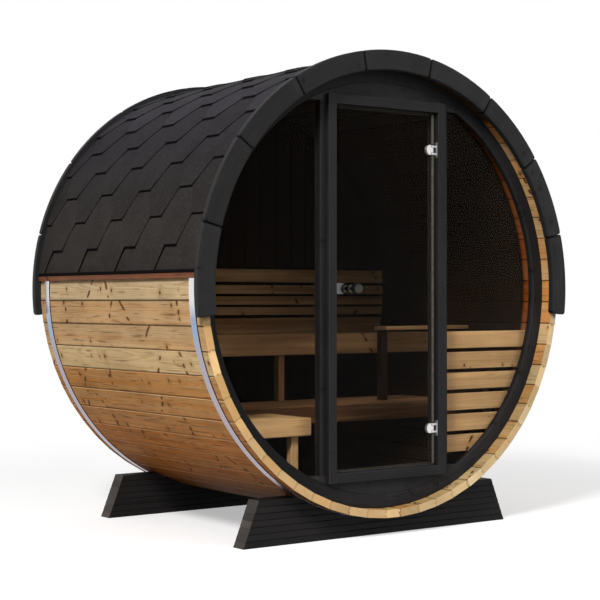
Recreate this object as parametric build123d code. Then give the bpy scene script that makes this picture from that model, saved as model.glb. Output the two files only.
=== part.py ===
"""Barrel sauna with a glazed front, all sizes in millimetres.

X runs to the right seen from the door, Y runs from the door end to the rear end and Z runs up.
The origin lies on the ground under the middle of the barrel.
Angles round the barrel are in degrees from straight up, positive towards +X.
"""
from math import asin, cos, degrees, radians, sin, sqrt
import os

from build123d import *

# Barrel of staves
barrel_radius = 1000.0
stave_length = 1400.0
stave_thickness = 35.0
stave_count = 59
closing_stave_angle = 4.5
closing_stave_turn = 0.3
stave_bevel = 3.0
tongue_thickness = 11.0
tongue_depth = 7.0
tongue_taper = 1.5
joint_gap = 0.3
ground_clearance = 81.0

# Small clearance where one fixed piece is seated on another
seat_gap = 0.3

# Hoops and cradles
hoop_width = 40.0
hoop_thickness = 1.5
hoop_inset = 47.0
cradle_thickness = 77.0
cradle_front_inset = 89.0
cradle_rear_inset = 101.0
cradle_foot_width = 1472.0
cradle_top_width = 1316.0
cradle_height = 196.0
cradle_board_height = 28.0
cradle_groove = 4.0

# Roof covering, eaves and end arches
roof_edge_angle = 86.6
roof_courses = 12
roof_base = 5.0
shingle_thickness = 5.0
eave_batten_height = 22.0
eave_batten_thickness = 13.0
arch_overhang = 32.0
arch_width = 87.0
arch_thickness = 28.0
arch_boards = 9
arch_board_angle = 21.54
arch_joint = 3.0
arch_bevel = 4.0
arch_end_round = 14.0

# Front wall
wall_recess = 60.0
wall_thickness = 45.0
ring_width = 62.0
ring_bevel = 3.0
glass_thickness = 8.0
glass_setback = 15.0
glass_rebate = 12.0
panel_height = 101.3
window_post_width = 28.0

# Door frame and door leaf
door_frame_front = 38.0
door_frame_width = 42.0
doorway_width = 576.0
door_frame_top_clearance = 8.0
door_frame_bottom_clearance = 2.5
door_stop_width = 10.0
door_stop_setback = 40.0
door_glass_setback = 20.0
door_clearance = 5.0
door_hinge_clearance = 8.0

# Door hinges, catch and knobs
hinge_inset = 162.0
hinge_pivot_inset = 18.0
hinge_pin_radius = 3.0
hinge_pin_clearance = 0.25
hinge_knuckle_radius = 7.0
hinge_knuckle_height = 22.0
hinge_lug_height = 9.0
hinge_lug_gap = 1.0
hinge_plate_height = 70.0
hinge_plate_thickness = 3.0
hinge_plate_front = 17.0
hinge_plate_back = 12.0
hinge_web_thickness = 10.0
hinge_clamp_height = 44.0
hinge_clamp_length = 26.0
hinge_clamp_thickness = 4.0
hinge_notch_depth = 23.0
hinge_notch_height = 48.0
catch_width = 38.0
catch_height = 47.0
catch_thickness = 6.0
catch_corner_radius = 4.0
catch_inset = 4.0
knob_inset = 85.0
knob_ball_radius = 25.0
knob_reach = 70.0
knob_neck_radius = 9.0
knob_rose_radius = 17.0
knob_rose_thickness = 4.0
knob_stud_radius = 5.0
stud_clearance = 0.5

# Rear wall
rear_wall_recess = 60.0
rear_wall_thickness = 40.0

# Benches and backrest
upper_seat_height = 865.0
upper_bench_front = 824.0
bench_board_thickness = 28.0
bench_board_gap = 12.0
bench_boards = 4
upper_apron_height = 100.0
apron_thickness = 26.0
bench_post_width = 34.0
bench_post_depth = 42.0
lower_seat_height = 543.0
lower_bench_front = 450.0
lower_apron_height = 76.0
side_seat_height = 523.0
side_bench_front = 140.0
side_bench_edge = 350.0
side_bench_boards = 4
side_leg_inset = 50.0
side_leg_width = 37.0
backrest_batten_thickness = 20.0
backrest_batten_width = 45.0
backrest_batten_spacing = 1100.0
backrest_board_thickness = 18.0
backrest_heights = (858.0, 954.0, 1006.0, 1061.0, 1121.0)
backrest_widths = (80.0, 40.0, 42.0, 44.0, 65.0)

# Heater guard
guard_front = 115.0
guard_left = 345.0
guard_top = 884.0
guard_boards = 6
guard_board_height = 77.0
guard_board_pitch = 95.0
guard_board_thickness = 20.0
guard_post_width = 40.0
guard_post_depth = 35.0
guard_post_spacing = 300.0
guard_rail_front = 560.0
guard_rail_width = 90.0
guard_rail_thickness = 18.0
guard_rail_left = 410.0



def chord(radius, distance):
    """Half the length of a circle's chord that lies at a distance from its centre."""
    return sqrt(radius ** 2 - distance ** 2)


# Sizes that follow from the ones above
axis_height = barrel_radius + ground_clearance
front_end = -stave_length / 2
rear_end = stave_length / 2
stave_angle = (360 - closing_stave_angle) / stave_count
stave_flat_radius = barrel_radius * cos(radians(stave_angle / 2)) - stave_thickness
inner_radius = stave_flat_radius - seat_gap
skin_radius = barrel_radius + seat_gap
ring_inner_radius = inner_radius - ring_width
window_half_height = ring_inner_radius - panel_height
arch_outer_radius = barrel_radius + arch_overhang
arch_inner_radius = arch_outer_radius - arch_width
wall_front = front_end + wall_recess
wall_back = wall_front + wall_thickness
rear_wall_back = rear_end - rear_wall_recess
rear_wall_front = rear_wall_back - rear_wall_thickness
backrest_back = rear_wall_front - seat_gap - backrest_batten_thickness
backrest_front = backrest_back - seat_gap - backrest_board_thickness
upper_boards_front = front_end + upper_bench_front + apron_thickness + seat_gap
upper_boards_depth = backrest_front - seat_gap - upper_boards_front
bench_board_width = (upper_boards_depth + bench_board_gap) / bench_boards - bench_board_gap
frame_front = front_end + door_frame_front
frame_half_width = doorway_width / 2 + door_frame_width
frame_top = chord(ring_inner_radius - door_frame_top_clearance, frame_half_width)
frame_bottom = -chord(ring_inner_radius - door_frame_bottom_clearance, frame_half_width)
doorway_top = frame_top - door_frame_width
doorway_bottom = frame_bottom + door_frame_width
door_front = frame_front + door_glass_setback
door_back = door_front + glass_thickness
door_middle = (door_front + door_back) / 2
door_left = -doorway_width / 2 + door_clearance
door_right = doorway_width / 2 - door_hinge_clearance
door_centre_height = (doorway_top + doorway_bottom) / 2
pivot_x = doorway_width / 2 - hinge_pivot_inset

parts = {}


def section_plane(y):
    """Upright plane across the barrel at y, with its centre on the barrel's axis."""
    return Plane(origin=(0, y, axis_height), x_dir=(1, 0, 0), z_dir=(0, -1, 0))


def slab(sketch, front, back):
    """Solid of a cross-section drawn round the barrel's axis, from y = front to y = back."""
    return extrude(section_plane(front) * sketch, back - front, dir=(0, 1, 0))


def sector(inner, outer, start, end):
    """Cross-section of a ring piece between two radii and two angles."""
    outer_arc = CenterArc((0, 0), outer, 90 - end, end - start)
    inner_arc = CenterArc((0, 0), inner, 90 - end, end - start)
    sides = [Line(outer_arc @ 0, inner_arc @ 0), Line(outer_arc @ 1, inner_arc @ 1)]
    return make_face([outer_arc, inner_arc] + sides)


def span(left, right, bottom, top):
    """Rectangular cross-section, measured from the barrel's axis."""
    return Pos((left + right) / 2, (bottom + top) / 2) * Rectangle(right - left, top - bottom)


def block(left, right, front, back, bottom, top):
    """Plain box, with its heights measured from the ground."""
    size = (right - left, back - front, top - bottom)
    middle = ((left + right) / 2, (front + back) / 2, (bottom + top) / 2)
    return Pos(*middle) * Box(*size)


def scribed(left, right, front, back, bottom, top):
    """Box with its heights measured from the ground, cut to the inside of the barrel."""
    outline = span(left, right, bottom - axis_height, top - axis_height) & Circle(inner_radius)
    return slab(outline, front, back)


def keep(name, *solids):
    """Name a node and the solids that make it."""
    parts[name] = solids[0] if len(solids) == 1 else Compound(children=list(solids))


# Staves
def stave_section(width_angle):
    """Cross-section of one stave that points straight up: tongue right, groove left."""
    half = radians(width_angle / 2)
    face = -joint_gap / 2
    inner_corner = barrel_radius - stave_thickness / cos(half)
    middle = (barrel_radius + inner_corner) / 2

    def flank(distance, out):
        return (distance * sin(half) + out * cos(half), distance * cos(half) - out * sin(half))

    def mirrored(point):
        return (-point[0], point[1])

    def joint(half_thickness, out):
        taper = min(tongue_taper, half_thickness / 2)
        return [
            flank(middle + half_thickness, face),
            flank(middle + half_thickness - taper, out),
            flank(middle - half_thickness + taper, out),
            flank(middle - half_thickness, face),
        ]

    outer_bevel = flank(barrel_radius, face)
    inner_bevel = flank(inner_corner, face)
    tongue = joint(tongue_thickness / 2, tongue_depth)
    groove = joint(tongue_thickness / 2 + joint_gap, -tongue_depth - joint_gap)
    right = [(outer_bevel[0] - stave_bevel, outer_bevel[1]), flank(barrel_radius - stave_bevel, face)]
    foot = [flank(inner_corner + stave_bevel, face), (inner_bevel[0] - stave_bevel, inner_bevel[1])]
    left = [mirrored(point) for point in reversed(right[:2] + groove + foot)]
    return Polygon(*(right + tongue + foot + left), align=None)


def make_staves():
    """All staves, sorted into eight nodes round the barrel."""
    names = ["staves_top", "staves_upper_right", "staves_right", "staves_lower_right",
             "staves_bottom", "staves_lower_left", "staves_left", "staves_upper_left"]
    groups = {name: [] for name in names}
    closing = 180 + closing_stave_turn
    first = closing + closing_stave_angle / 2 + stave_angle / 2
    staves = [(closing, closing_stave_angle)]
    staves += [(first + number * stave_angle, stave_angle) for number in range(stave_count)]
    for turn, width_angle in staves:
        outline = Rot(0, 0, -turn) * stave_section(width_angle)
        group = names[round((turn % 360) / 45) % 8]
        groups[group].append(slab(outline, front_end, rear_end))
    for name, solids in groups.items():
        keep(name, *solids)


# Hoops and cradles
def make_hoops():
    """Two steel bands from eave to eave, under the barrel."""
    start = eave_end_angle()
    for name, front in (("hoop_front", front_end + hoop_inset),
                        ("hoop_rear", rear_end - hoop_inset - hoop_width)):
        band = sector(skin_radius, skin_radius + hoop_thickness, start, 360 - start)
        keep(name, slab(band, front, front + hoop_width))


def cradle(front):
    """Stack of grooved boards, cut to the round of the barrel."""
    base = -axis_height
    half_foot = cradle_foot_width / 2
    half_top = cradle_top_width / 2
    corners = [(-half_foot, base), (half_foot, base),
               (half_top, base + cradle_height), (-half_top, base + cradle_height)]
    solid = slab(Polygon(*corners, align=None) - Circle(skin_radius), front, front + cradle_thickness)
    level = cradle_board_height
    while level < cradle_height - cradle_board_height / 2:
        for y in (front, front + cradle_thickness):
            groove = Pos(0, y, level) * Rot(45, 0, 0) * Box(2 * half_foot, cradle_groove, cradle_groove)
            solid -= groove
        level += cradle_board_height
    return solid


# Roof
def eave_end_angle():
    """Angle of the batten's lower edge on the barrel."""
    return roof_edge_angle + degrees(eave_batten_height / skin_radius)


def polar(radius, angle):
    """Point at a radius and an angle from straight up."""
    return (radius * sin(radians(angle)), radius * cos(radians(angle)))


def roof_section():
    """Half of the roof covering: lapped courses over a round base."""
    base = skin_radius + roof_base
    lap = base + shingle_thickness
    step = roof_edge_angle / roof_courses
    edges = [Line(polar(skin_radius, 0.0), polar(base, 0.0))]
    for course in range(roof_courses):
        top = course * step
        bottom = top + step
        middle = polar((base + lap) / 2, (top + bottom) / 2)
        foot = base if course < roof_courses - 1 else skin_radius
        edges.append(ThreePointArc(polar(base, top), middle, polar(lap, bottom)))
        edges.append(Line(polar(lap, bottom), polar(foot, bottom)))
    edges.append(CenterArc((0, 0), skin_radius, 90 - roof_edge_angle, roof_edge_angle))
    return make_face(edges)


def make_roof():
    """Roof covering in two halves and the battens under its edges."""
    front = front_end + seat_gap
    back = rear_end - seat_gap
    half = Pos(seat_gap / 2, 0) * roof_section()
    keep("roof_covering_right", slab(half, front, back))
    keep("roof_covering_left", slab(mirror(half, about=Plane.YZ), front, back))
    start = roof_edge_angle + degrees(seat_gap / skin_radius)
    batten = sector(skin_radius, skin_radius + eave_batten_thickness, start, eave_end_angle())
    keep("eave_batten_right", slab(batten, front, back))
    keep("eave_batten_left", slab(mirror(batten, about=Plane.YZ), front, back))


def arch(front, outward):
    """Arch of curved boards over one end of the barrel; outward is -1 at the door end."""
    boards = []
    half_joint = degrees(arch_joint / 2 / arch_outer_radius)
    for number in range(arch_boards):
        start = (number - arch_boards / 2) * arch_board_angle
        outline = sector(arch_inner_radius, arch_outer_radius,
                         start + half_joint, start + arch_board_angle - half_joint)
        lowest = outline.vertices().sort_by(Axis.Y)[:2]
        if number in (0, arch_boards - 1):
            outline = fillet(lowest, arch_end_round)
        board = slab(outline, front, front + arch_thickness)
        face = board.faces().sort_by(Axis.Y)[0 if outward < 0 else -1]
        boards.append(chamfer(face.edges(), arch_bevel))
    return boards


# Front wall
def make_ring():
    """Round frame of the front wall in two halves, rebated for the side glass."""
    rebate = wall_front + glass_setback
    gap = degrees(seat_gap / 2 / inner_radius)
    lip = sector(ring_inner_radius, inner_radius, gap, 180 - gap)
    body = sector(ring_inner_radius + glass_rebate, inner_radius, gap, 180 - gap)
    for name, side in (("ring_frame_right", 1), ("ring_frame_left", -1)):
        front_part = lip if side > 0 else mirror(lip, about=Plane.YZ)
        back_part = body if side > 0 else mirror(body, about=Plane.YZ)
        ring = slab(front_part, wall_front, rebate) + slab(back_part, rebate, wall_back)
        arcs = ring.faces().sort_by(Axis.Y)[0].edges().filter_by(GeomType.CIRCLE)
        keep(name, chamfer(arcs, ring_bevel))


def make_panels():
    """Boarded panels over and under the windows, cut round the door frame."""
    disc = Circle(ring_inner_radius - seat_gap)
    reach = 2 * barrel_radius
    beside = frame_half_width + seat_gap
    over = [span(-frame_half_width, frame_half_width, frame_top + seat_gap, reach),
            span(beside, reach, window_half_height, reach),
            span(-reach, -beside, window_half_height, reach)]
    under = [span(-frame_half_width, frame_half_width, -reach, frame_bottom - seat_gap),
             span(beside, reach, -reach, -window_half_height),
             span(-reach, -beside, -reach, -window_half_height)]
    for name, outlines in (("front_top_panel", over), ("front_bottom_panel", under)):
        keep(name, *[slab(disc & outline, wall_front, wall_back) for outline in outlines])


def make_windows():
    """Posts beside the door frame and the two side windows."""
    inner = frame_half_width + seat_gap
    outer = inner + window_post_width
    height = window_half_height - seat_gap
    post = slab(span(inner, outer, -height, height), wall_front, wall_back)
    keep("window_post_right", post)
    keep("window_post_left", mirror(post, about=Plane.YZ))
    disc = Circle(ring_inner_radius + glass_rebate - seat_gap)
    outline = disc & span(outer + seat_gap, 2 * barrel_radius, -height, height)
    front = wall_front + glass_setback + seat_gap
    pane = slab(outline, front, front + glass_thickness)
    keep("side_glass_right", pane)
    keep("side_glass_left", mirror(pane, about=Plane.YZ))


def make_door_frame():
    """Jambs, head and sill, each with a stop behind the glass."""
    stop_front = frame_front + door_stop_setback
    half = doorway_width / 2
    jamb = slab(span(half, frame_half_width, frame_bottom, frame_top), frame_front, wall_back)
    jamb += slab(span(half - door_stop_width, half, frame_bottom, frame_top), stop_front, wall_back)
    keep("door_jamb_right", jamb)
    keep("door_jamb_left", mirror(jamb, about=Plane.YZ))
    width = half - seat_gap
    stop_half = width - door_stop_width
    head = slab(span(-width, width, doorway_top, frame_top), frame_front, stop_front)
    head += slab(span(-stop_half, stop_half, doorway_top - door_stop_width, frame_top),
                 stop_front, wall_back)
    sill = slab(span(-width, width, frame_bottom, doorway_bottom), frame_front, stop_front)
    sill += slab(span(-stop_half, stop_half, frame_bottom, doorway_bottom + door_stop_width),
                 stop_front, wall_back)
    keep("door_head", head)
    keep("door_sill", sill)


# Door
def hinge_heights():
    """Heights of the two hinges above the barrel's axis."""
    return [doorway_top - door_clearance - hinge_inset, doorway_bottom + door_clearance + hinge_inset]


def upright(x, y, height, radius, length):
    """Upright cylinder centred at a height above the barrel's axis."""
    return Pos(x, y, axis_height + height) * Cylinder(radius, length)


def make_door_glass():
    """Frameless leaf, notched for the hinges and drilled for the catch and the knobs."""
    outline = span(door_left, door_right, doorway_bottom + door_clearance,
                   doorway_top - door_clearance)
    for height in hinge_heights():
        outline -= span(door_right - hinge_notch_depth, door_right + hinge_notch_depth,
                        height - hinge_notch_height / 2, height + hinge_notch_height / 2)
    for x in (catch_x(), knob_x()):
        outline -= Pos(x, door_centre_height) * Circle(knob_stud_radius + stud_clearance)
    keep("door_glass", slab(outline, door_front, door_back))


def make_hinges():
    """Plates and pins on the jamb, clamps and knuckles on the glass."""
    plate_face = doorway_width / 2 - seat_gap
    plate_back = plate_face - hinge_plate_thickness
    lug_offset = (hinge_knuckle_height + hinge_lug_height) / 2 + hinge_lug_gap
    pin_length = hinge_knuckle_height + 2 * (hinge_lug_gap + hinge_lug_height)
    notch_edge = door_right - hinge_notch_depth
    half_grip = glass_thickness / 2 + seat_gap
    grip_depth = half_grip + hinge_clamp_thickness
    plates = []
    clamps = []
    for height in hinge_heights():
        z = axis_height + height
        plate = block(plate_back, plate_face, door_middle - hinge_plate_front,
                      door_middle + hinge_plate_back,
                      z - hinge_plate_height / 2, z + hinge_plate_height / 2)
        for side in (1, -1):
            middle = height + side * lug_offset
            plate += upright(pivot_x, door_middle, middle, hinge_knuckle_radius, hinge_lug_height)
            plate += block(pivot_x, plate_face, door_middle - hinge_web_thickness / 2,
                           door_middle + hinge_web_thickness / 2,
                           axis_height + middle - hinge_lug_height / 2,
                           axis_height + middle + hinge_lug_height / 2)
        plate += upright(pivot_x, door_middle, height, hinge_pin_radius, pin_length)
        plates.append(plate)
        clamps.append(hinge_clamp(height, notch_edge, half_grip, grip_depth))
    keep("hinge_plates", *plates)
    keep("hinge_clamps", *clamps)


def hinge_clamp(height, notch_edge, half_grip, grip_depth):
    """Two round-ended cheeks on the glass, joined in its notch to the knuckle."""
    round_radius = hinge_clamp_height / 2
    cheek = Pos(notch_edge - hinge_clamp_length + round_radius, height) * Circle(round_radius)
    cheek += span(notch_edge - hinge_clamp_length + round_radius, notch_edge,
                  height - round_radius, height + round_radius)
    cheek &= span(notch_edge - hinge_clamp_length, notch_edge,
                  height - round_radius, height + round_radius)
    clamp = slab(cheek, door_middle - grip_depth, door_middle - half_grip)
    clamp += slab(cheek, door_middle + half_grip, door_middle + grip_depth)
    z = axis_height + height
    half_height = hinge_knuckle_height / 2
    bridge_left = notch_edge + seat_gap
    for front, back in ((-grip_depth, -half_grip), (half_grip, grip_depth)):
        clamp += block(notch_edge - hinge_clamp_thickness, pivot_x, door_middle + front,
                       door_middle + back, z - half_height, z + half_height)
    clamp += block(bridge_left, pivot_x, door_middle - half_grip, door_middle + half_grip,
                   z - half_height, z + half_height)
    clamp += upright(pivot_x, door_middle, height, hinge_knuckle_radius, hinge_knuckle_height)
    bore = hinge_pin_radius + hinge_pin_clearance
    return clamp - upright(pivot_x, door_middle, height, bore, 2 * hinge_knuckle_height)


def catch_x():
    """Middle of the catch, near the free edge of the leaf."""
    return door_left + catch_inset + catch_width / 2


def knob_x():
    """Middle of the knobs."""
    return door_left + knob_inset


def make_catch():
    """Plates on both faces of the glass with a stud through it."""
    half_grip = glass_thickness / 2 + seat_gap
    plate = RectangleRounded(catch_width, catch_height, catch_corner_radius)
    outline = Pos(catch_x(), door_centre_height) * plate
    catch = slab(outline, door_middle - half_grip - catch_thickness, door_middle - half_grip)
    catch += slab(outline, door_middle + half_grip, door_middle + half_grip + catch_thickness)
    stud = Pos(catch_x(), door_centre_height) * Circle(knob_stud_radius)
    stud_reach = half_grip + catch_thickness / 2
    catch += slab(stud, door_middle - stud_reach, door_middle + stud_reach)
    keep("door_catch", catch)


def make_knobs():
    """Turned knobs in front of and behind the glass, on one stud."""
    half_grip = glass_thickness / 2 + seat_gap
    rose_end = half_grip + knob_rose_thickness
    tip = half_grip + knob_reach
    centre = tip - knob_ball_radius
    neck_end = centre - chord(knob_ball_radius, knob_neck_radius)
    points = [(0, 0), (knob_stud_radius, 0), (knob_stud_radius, half_grip),
              (knob_rose_radius, half_grip), (knob_rose_radius, rose_end),
              (knob_neck_radius, rose_end + knob_rose_thickness), (knob_neck_radius, neck_end)]
    neck = Polyline(*points)
    ball = CenterArc((0, centre), knob_ball_radius,
                     -degrees(asin((centre - neck_end) / knob_ball_radius)),
                     90 + degrees(asin((centre - neck_end) / knob_ball_radius)))
    axis = Line((0, tip), (0, 0))
    profile = make_face([neck, ball, axis])
    knob = revolve(profile, Axis.Y)
    both = knob + mirror(knob, about=Plane.XZ)
    keep("door_knobs", Pos(knob_x(), door_middle, axis_height + door_centre_height) * both)


# Rear wall
def make_rear_wall():
    """Round rear wall in two halves."""
    gap = degrees(seat_gap / 2 / inner_radius)
    half = make_face([CenterArc((0, 0), inner_radius, -90 + gap, 180 - 2 * gap),
                      Line(polar(inner_radius, gap), polar(inner_radius, 180 - gap))])
    keep("rear_wall_right", slab(half, rear_wall_front, rear_wall_back))
    keep("rear_wall_left", slab(mirror(half, about=Plane.YZ), rear_wall_front, rear_wall_back))


# Benches
def seat_boards(front, top, count):
    """Boards across the barrel, cut to its round at both ends."""
    boards = []
    for number in range(count):
        start = front + number * (bench_board_width + bench_board_gap)
        boards.append(scribed(-barrel_radius, barrel_radius, start, start + bench_board_width,
                              top - bench_board_thickness, top))
    return boards


def make_upper_bench():
    """Seat boards across the rear of the barrel with an apron and a middle post."""
    front = front_end + upper_bench_front
    keep("upper_bench_boards", *seat_boards(upper_boards_front, upper_seat_height, bench_boards))
    keep("upper_bench_apron", scribed(-barrel_radius, barrel_radius, front, front + apron_thickness,
                                      upper_seat_height - upper_apron_height, upper_seat_height))
    under = upper_seat_height - bench_board_thickness - seat_gap
    keep("upper_bench_post", block(-bench_post_width / 2, bench_post_width / 2,
                                   upper_boards_front, upper_boards_front + bench_post_depth,
                                   lower_seat_height + seat_gap, under))


def make_lower_bench():
    """Foot bench in front of the upper one and a short bench along the left side."""
    front = front_end + lower_bench_front
    boards_front = front + apron_thickness + seat_gap
    keep("lower_bench_boards", *seat_boards(boards_front, lower_seat_height, bench_boards))
    cross = scribed(-barrel_radius, barrel_radius, front, front + apron_thickness,
                    lower_seat_height - lower_apron_height, lower_seat_height)
    side_front = front_end + side_bench_front
    side_back = side_front + apron_thickness
    end_board = scribed(-barrel_radius, -side_bench_edge, side_front, side_back,
                        side_seat_height - lower_apron_height, side_seat_height)
    keep("lower_bench_aprons", cross, end_board)
    under_boards = side_seat_height - bench_board_thickness - axis_height
    reach = chord(inner_radius, under_boards) - side_bench_edge
    board_width = (reach + bench_board_gap) / side_bench_boards - bench_board_gap
    boards = []
    for number in range(side_bench_boards):
        right = -side_bench_edge - number * (board_width + bench_board_gap)
        boards.append(scribed(right - board_width, right, side_back + seat_gap,
                              front - seat_gap, side_seat_height - bench_board_thickness,
                              side_seat_height))
    keep("side_bench_boards", *boards)
    leg_right = -side_bench_edge - side_leg_inset
    keep("side_bench_leg", scribed(leg_right - side_leg_width, leg_right, side_back + seat_gap,
                                   side_back + seat_gap + side_leg_width, 0,
                                   side_seat_height - bench_board_thickness - seat_gap))


def make_backrest():
    """Slats on two battens against the rear wall."""
    slats = []
    for height, width in zip(backrest_heights, backrest_widths):
        slats.append(scribed(-barrel_radius, barrel_radius, backrest_front,
                             backrest_front + backrest_board_thickness, height, height + width))
    keep("backrest_slats", *slats)
    top = backrest_heights[-1] + backrest_widths[-1]
    battens = []
    for side in (-1, 1):
        middle = side * backrest_batten_spacing / 2
        battens.append(block(middle - backrest_batten_width / 2, middle + backrest_batten_width / 2,
                             backrest_back, rear_wall_front - seat_gap, backrest_heights[0], top))
    keep("backrest_battens", *battens)


def make_heater_guard():
    """Slatted guard behind the right window, with posts and a rail at its rear."""
    front = front_end + guard_front
    back = front + guard_board_thickness
    boards = []
    for number in range(guard_boards):
        top = guard_top - number * guard_board_pitch
        boards.append(scribed(guard_left, barrel_radius, front, back, top - guard_board_height, top))
    keep("guard_boards", *boards)
    post_front = back + seat_gap
    posts = []
    for left in (guard_left, guard_left + guard_post_spacing):
        posts.append(scribed(left, left + guard_post_width, post_front,
                             post_front + guard_post_depth, 0, guard_top))
    rail_front = front_end + guard_rail_front
    rail_bottom = guard_top
    posts.append(block(guard_rail_left, guard_rail_left + guard_post_width,
                       rail_front + guard_post_depth, rail_front + 2 * guard_post_depth,
                       lower_seat_height + seat_gap, rail_bottom - seat_gap))
    keep("guard_posts", *posts)
    keep("guard_rail", scribed(guard_rail_left, barrel_radius, rail_front,
                               rail_front + guard_rail_width, rail_bottom,
                               rail_bottom + guard_rail_thickness))


make_staves()
make_hoops()
keep("cradle_front", cradle(front_end + cradle_front_inset))
keep("cradle_rear", cradle(rear_end - cradle_rear_inset - cradle_thickness))
make_roof()
keep("front_arch", *arch(front_end - seat_gap - arch_thickness, -1))
keep("rear_arch", *arch(rear_end + seat_gap, 1))
make_ring()
make_panels()
make_windows()
make_door_frame()
make_door_glass()
make_hinges()
make_catch()
make_knobs()
make_rear_wall()
make_upper_bench()
make_lower_bench()
make_backrest()
make_heater_guard()

os.makedirs("parts", exist_ok=True)
for node, shape in parts.items():
    export_step(shape, f"parts/{node}.step")
print(len(parts), "nodes written")
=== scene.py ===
"""Barrel sauna, dressed for rendering.

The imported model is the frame. Wooden pieces are cleaned copies of its nodes with rounded edges and a
grain that follows each board. The shingles, their ridge caps and the screws are grown by rules.
All sizes are in metres, with X to the right seen from the door, Y towards the rear and Z up.
"""
import random
from math import atan2, cos, degrees, pi, radians, sin, sqrt, tan

import bmesh
import bpy
import numpy as np
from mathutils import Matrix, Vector


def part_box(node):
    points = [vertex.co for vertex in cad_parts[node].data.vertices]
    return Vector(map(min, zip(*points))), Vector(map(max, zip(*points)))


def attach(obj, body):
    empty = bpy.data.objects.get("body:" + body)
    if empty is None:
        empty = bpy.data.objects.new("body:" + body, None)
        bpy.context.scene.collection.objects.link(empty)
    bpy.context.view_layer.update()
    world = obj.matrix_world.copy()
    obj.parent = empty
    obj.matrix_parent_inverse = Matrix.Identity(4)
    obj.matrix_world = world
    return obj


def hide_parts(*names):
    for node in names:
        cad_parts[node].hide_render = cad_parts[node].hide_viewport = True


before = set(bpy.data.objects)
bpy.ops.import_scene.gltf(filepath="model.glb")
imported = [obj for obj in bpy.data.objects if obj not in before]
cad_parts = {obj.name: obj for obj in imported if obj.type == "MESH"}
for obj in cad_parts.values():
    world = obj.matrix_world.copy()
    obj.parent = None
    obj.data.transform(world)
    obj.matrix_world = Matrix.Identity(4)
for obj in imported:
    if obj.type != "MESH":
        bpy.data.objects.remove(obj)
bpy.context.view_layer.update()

# Places, sizes and angles that the model already has; angles are in degrees from the top of the barrel
AXIS_HEIGHT = 1.081
BARREL_RADIUS = 1.0
HALF_LENGTH = 0.7
STAVE_TURN = 6.025424
FIRST_STAVE = 182.55
STAVES = 60
WALL_FRONT = -0.64
WALL_BACK = -0.595
REAR_WALL = 0.6
WALL_BOARD = 0.095
CRADLE_LAYER = 0.028
ROOF_EDGE = 86.6
ARCH_INNER = 0.945
ARCH_OUTER = 1.032
ARCH_FACE = 0.7276
ARCH_TURN = 21.54
ARCH_BOARDS = 9
RING_INNER = 0.9013
HINGES = (0.621, -0.627)

# Angle in degrees past which an edge is rounded, and how much a face has to look one way to count as end
SHARP = 30.0
FACING = 0.7

scene = bpy.context.scene


# Node trees
class Output:
    """What a node puts out; plain arithmetic on it adds Math nodes to its tree."""

    def __init__(self, socket):
        self.socket = socket

    def __add__(self, other):
        return calc("ADD", self, other)

    def __sub__(self, other):
        return calc("SUBTRACT", self, other)

    def __rsub__(self, other):
        return calc("SUBTRACT", other, self)

    def __mul__(self, other):
        return calc("MULTIPLY", self, other)

    def __truediv__(self, other):
        return calc("DIVIDE", self, other)

    def __rtruediv__(self, other):
        return calc("DIVIDE", other, self)

    def __mod__(self, other):
        return calc("MODULO", self, other)

    def __lt__(self, other):
        return calc("LESS_THAN", self, other)

    def __gt__(self, other):
        return calc("GREATER_THAN", self, other)

    def __abs__(self):
        return calc("ABSOLUTE", self)


class Node:
    """A new node. Reading one of its items gives an output, and setting one fills an input.

    The node lies in the tree of the outputs that fill it, or in the tree that is given.
    """

    def __init__(self, kind, inputs=None, tree=None, **settings):
        inputs = inputs or {}
        if tree is None:
            tree = next(value.socket.id_data for value in inputs.values() if isinstance(value, Output))
        self.node = tree.nodes.new(kind)
        for name, value in settings.items():
            setattr(self.node, name, value)
        for name, value in inputs.items():
            self[name] = value

    def __getitem__(self, name):
        return Output(self.node.outputs[name])

    def __setitem__(self, name, value):
        fill(self.node.inputs[name], value)


def fill(socket, value):
    """Links an output to a socket or writes a plain value into it; a plain colour gets full opacity."""
    if isinstance(value, Output):
        socket.id_data.links.new(value.socket, socket)
    elif socket.type == "RGBA" and len(value) == 3:
        socket.default_value = (*value, 1.0)
    else:
        socket.default_value = value


def calc(operation, *values):
    """One step of arithmetic on numbers."""
    return Node("ShaderNodeMath", dict(enumerate(values)), operation=operation)[0]


def larger(first, second):
    """The larger one of two numbers."""
    return calc("MAXIMUM", first, second)


def bell(value):
    """Bell curve over a distance from its middle."""
    return calc("EXPONENT", value * value * -1.0)


def vector(x, y, z=0.0):
    """A vector from three numbers."""
    return Node("ShaderNodeCombineXYZ", {0: x, 1: y, 2: z})[0]


def split(value, kind="XYZ"):
    """The three numbers of a vector or a colour."""
    node = Node("ShaderNodeSeparate" + kind, {0: value})
    return [node[number] for number in range(3)]


def ramp(value, low, high, start=0.0, end=1.0, smooth=True):
    """Maps low..high onto start..end, clamped."""
    inputs = {"Value": value, "From Min": low, "From Max": high, "To Min": start, "To Max": end}
    return Node("ShaderNodeMapRange", inputs, interpolation_type="SMOOTHSTEP" if smooth else "LINEAR")[0]


def blend(factor, first, second, kind="MIX"):
    """Mixes two colours."""
    return Node("ShaderNodeMix", {0: factor, 6: first, 7: second}, data_type="RGBA", blend_type=kind)[2]


def dimmed(color, amount):
    """A colour times a number."""
    grey = Node("ShaderNodeCombineColor", {0: amount, 1: amount, 2: amount})[0]
    return blend(1.0, color, grey, "MULTIPLY")


def clamped(value):
    """A number kept between 0 and 1."""
    return Node("ShaderNodeClamp", {0: value})[0]


def noise(place, scale=1.0, detail=2.0, rough=0.5, output=0):
    """Soft noise from 0 to 1."""
    inputs = {"Vector": place, "Scale": scale, "Detail": detail, "Roughness": rough}
    return Node("ShaderNodeTexNoise", inputs)[output]


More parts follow.
